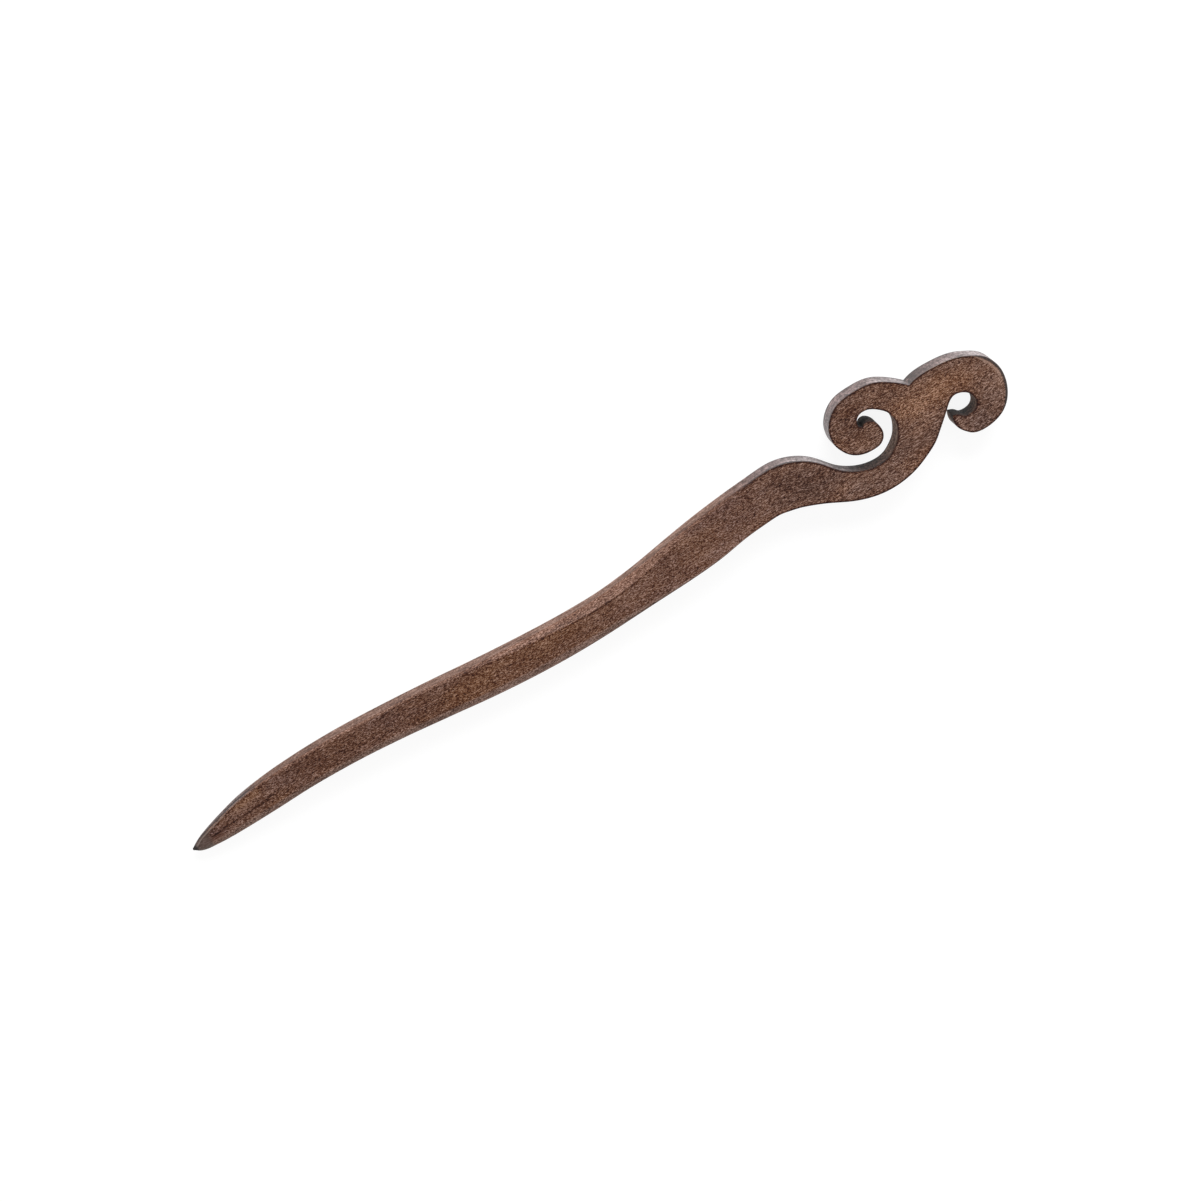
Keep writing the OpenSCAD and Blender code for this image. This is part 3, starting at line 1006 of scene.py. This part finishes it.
# near the point the upper side is painted: painted shade next to the ridge, painted light near its top
point_side = product(near_point, is_upper, side)
at_tip = ease(length, -80.0, -82.0)
behind = t.math("SUBTRACT", 1.0, at_tip)
point_side_shade = t.total(
    (product(point_side, at_tip, ease(below, 1.7, 0.9)), 1.35),
    (product(point_side, behind, ease(below, 2.2, 1.6), ease(below, 0.7, 1.1)), 1.0),
)
point_top_light = product(point_side, behind, ease(below, 1.0, 0.5))
side_value = t.total(
    (t.centred(end_fleck), 0.8),
    (product(head_side_share, t.centred(end_fleck)), 1.2),
    (flecks, 1.4),
    (product(shank_wall, flecks), 1.4),
    (t.centred(sanding), 1.2),
    (t.centred(patch), 0.3),
    # painted highlight under the front edge and high on the far scroll, painted shade at the back edge
    (under_edge_highlight, 0.08),
    (at_front, -0.26),
    (hump_front, -0.55),
    (product(under_edge_highlight, t.spot(mm, (45.5, 2.4), (11.0, 6.0))), 0.36),
    (product(ease(height, 2.9, 2.0), t.spot(mm, (45.5, 2.4), (11.0, 6.0))), -0.10),
    (far_top_highlight, 0.22),
    (product(back_edge_shade, head_side_share), -0.45),
    (next_to_face, -0.09),
    (neck_low, 0.12),
    (neck_high, -0.08),
    (point_side, 0.02),
    # painted shade and painted light on the point's upper side
    (point_side_shade, -0.42),
    (point_top_light, 0.10),
    (product(shank_wall, ease(length, -62.0, -52.0)), 0.06),
)
# painted light and shade on the cut sides
for centre, size, shift in SIDE_LIGHT_AND_SHADE:
    side_value = t.math(
        "ADD", side_value, t.math("MULTIPLY", t.spot(mm, centre, size), shift)
    )
side_value = t.math("ADD", side_value, 0.5, clamp=True)
shank_side = t.ramp(side_value, shades((95, 66, 53), (64, 64, 64)))
point_wall = t.ramp(side_value, shades((88, 72, 68), (64, 64, 64)))
plain_side = t.ramp(side_value, shades((89, 70, 67), (66, 62, 62)))
painted_lit_side = t.ramp(side_value, shades((120, 109, 109), (68, 68, 68)))
# painted shade for shut-in cut sides, and a painted lit copy for those that look to the left
recess_shade_side = t.ramp(side_value, shades((45, 30, 25), (60, 54, 50)))
lit_shut_side = t.ramp(side_value, shades((112, 84, 68), (56, 52, 50)))
# painted light: a lighter copy of the head's side colour mixed in where a side faces the light
head_side = t.mix(t.math("MULTIPLY", facing_light_mark, 1.0, clamp=True), plain_side, painted_lit_side)
recess_shade_side = t.mix(t.mark("leftward"), recess_shade_side, lit_shut_side)
shank_side = t.mix(near_point, shank_side, point_wall)
side_colour = t.mix(head_side_share, shank_side, head_side)
# painted shade mixed in on shut-in cut sides
side_colour = t.mix(shut, side_colour, recess_shade_side)
bevel_share = product(edge, t.remap(side, 0.0, 0.12), not_head)
colour = t.mix(bevel_share, face_colour, bevel_colour)
colour = t.mix(wall_share, colour, side_colour)
# painted highlight on the far scroll's top edge
top_edge_highlight = product(t.remap(side, 0.3, 0.5), edge, t.spot(mm, (80.5, 6.6), (8.0, 3.0)))
colour = t.mix(t.math("MULTIPLY", top_edge_highlight, 0.85), colour, srgb(158, 144, 136))
# painted sheen on the far scroll's worn end, and painted shade on its rim
colour = t.mix(t.math("MULTIPLY", worn_end_sheen, 0.5), colour, srgb(166, 138, 122))
colour = t.mix(t.math("MULTIPLY", shaded_end_rim, 0.85), colour, srgb(48, 44, 44))
# the grainless point, with a lighter copy painted on its lower side as painted light
point_upper = t.ramp(value, shades((82, 66, 60), (30, 30, 30)))
point_lit_lower = t.ramp(value, shades((106, 92, 84), (30, 30, 30)))
point_colour = t.mix(product(is_lower, t.remap(side, 0.1, 0.8)), point_upper, point_lit_lower)
point_share = product(point, t.math("SUBTRACT", 1.0, wall_share))
colour = t.mix(t.math("MULTIPLY", point_share, 0.85), colour, point_colour)
# painted highlight along the ridge near the point
colour = t.mix(t.math("MULTIPLY", point_ridge_highlight, 0.42), colour, srgb(156, 142, 134))
colour = t.mix(t.math("MULTIPLY", blunt, 0.9), colour, srgb(22, 17, 15))
# nearly black painted shade in the near scroll's eye and at the far scroll's tongue end
for centre, reach, share in PAINTED_SHADE_SPOTS:
    dark = product(ease(t.vec("DISTANCE", mm, centre), reach, 0.3 * reach), wall_share)
    colour = t.mix(t.math("MULTIPLY", dark, share), colour, srgb(17, 13, 11))
t.put(bsdf.inputs["Base Color"], colour)

rough = t.remap(fleck, 0.3, 0.7, 0.50, 0.38)
rough_side = t.math("SUBTRACT", 0.30, t.math("MULTIPLY", head, 0.28))
rough_side = t.math("ADD", rough_side, t.math("MULTIPLY", shut, 0.3))
rough = t.math("ADD", rough, t.math("MULTIPLY", rough_side, side))
t.put(bsdf.inputs["Roughness"], rough)
bsdf.inputs["IOR"].default_value = 1.5
bsdf.inputs["Specular IOR Level"].default_value = 0.3

bump = t.new("ShaderNodeBump")
bump.inputs["Strength"].default_value = 0.5
bump.inputs["Distance"].default_value = 0.00004
t.put(
    bump.inputs["Height"],
    t.total((fleck, 1.0), (dash, 0.6), (t.math("MULTIPLY", end_fleck, side), 0.8)),
)
t.put(bsdf.inputs["Normal"], bump.outputs[0])

mesh.materials.append(wood)
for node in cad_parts.values():
    node.data.materials.clear()
    node.data.materials.append(wood)

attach(stick, "root")
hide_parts("hair_stick")

# ---------------------------------------------------------------- floor, lights, camera
floor_mesh = bpy.data.meshes.new("floor")
floor_mesh.from_pydata(
    [(-4, -4, 0), (4, -4, 0), (4, 4, 0), (-4, 4, 0)], [], [(0, 1, 2, 3)]
)
floor = bpy.data.objects.new("floor", floor_mesh)
floor.location = (0, 0, -0.00002)
bpy.context.scene.collection.objects.link(floor)
pale = bpy.data.materials.new("pale_floor")
pale.use_nodes = True
pale_bsdf = pale.node_tree.nodes["Principled BSDF"]
pale_bsdf.inputs["Base Color"].default_value = (0.15, 0.15, 0.15, 1)
pale_bsdf.inputs["Roughness"].default_value = 0.9
pale_bsdf.inputs["Specular IOR Level"].default_value = 0.1
pale_bsdf.inputs["Emission Color"].default_value = (1, 1, 1, 1)
pale_bsdf.inputs["Emission Strength"].default_value = 0.9
floor_mesh.materials.append(pale)

# a light tent: bright walls all round, darker overhead
world = bpy.data.worlds.new("studio")
bpy.context.scene.world = world
world.use_nodes = True
sky = Tree(world)
background = sky.nodes["Background"]
facing = sky.new("ShaderNodeTexCoord").outputs["Generated"]
rise = sky.new("ShaderNodeSeparateXYZ")
sky.put(rise.inputs[0], facing)
tent = sky.ramp(
    rise.outputs[2],
    [
        (0.0, (1.15, 1.15, 1.15, 1)),
        (0.38, (1.1, 1.1, 1.1, 1)),
        (0.62, (0.55, 0.55, 0.55, 1)),
        (0.80, (0.22, 0.22, 0.22, 1)),
        (1.0, (0.14, 0.14, 0.14, 1)),
    ],
)
sky.put(background.inputs["Color"], tent)
background.inputs["Strength"].default_value = 1.0


def softbox(name, at, aim, size, watts):
    data = bpy.data.lights.new(name, "AREA")
    data.shape = "RECTANGLE"
    data.size, data.size_y = size
    data.energy = watts
    lamp = bpy.data.objects.new(name, data)
    lamp.location = at
    lamp.rotation_mode = "QUATERNION"
    lamp.rotation_quaternion = (Vector(aim) - Vector(at)).to_track_quat("-Z", "Y")
    bpy.context.scene.collection.objects.link(lamp)
    return lamp


softbox("key", (0.62, 0.97, 0.75), (0, 0, 0), (1.0, 0.7), 20.0)

LEAN = math.radians(15.2)
back = Vector((0, math.sin(LEAN), math.cos(LEAN)))
across = Vector((1, 0, 0))
along = Vector((0, math.cos(LEAN), -math.sin(LEAN)))
right = 0.8706 * across - 0.4920 * along
up = 0.4920 * across + 0.8706 * along
DISTANCE = 0.8027
target = Vector(
    (91.4 * 180.0 / 179.4 + shift_x, 3.277 * HEAD_K + shift_y, 0.0)
) * MM
target = target - right * (0.48 / 5.2 * MM) + up * (0.80 / 5.2 * MM)
camera_data = bpy.data.cameras.new("camera")
camera_data.sensor_width = 36.0
camera_data.sensor_fit = "AUTO"
camera_data.lens = 125.0
camera_data.clip_start, camera_data.clip_end = 0.05, 20.0
camera = bpy.data.objects.new("camera", camera_data)
camera.matrix_world = Matrix.Translation(target + back * DISTANCE) @ Matrix(
    (right, up, back)
).transposed().to_4x4()
bpy.context.scene.collection.objects.link(camera)
bpy.context.scene.camera = camera

bpy.context.scene.view_settings.view_transform = "Standard"
bpy.context.scene.view_settings.look = "None"
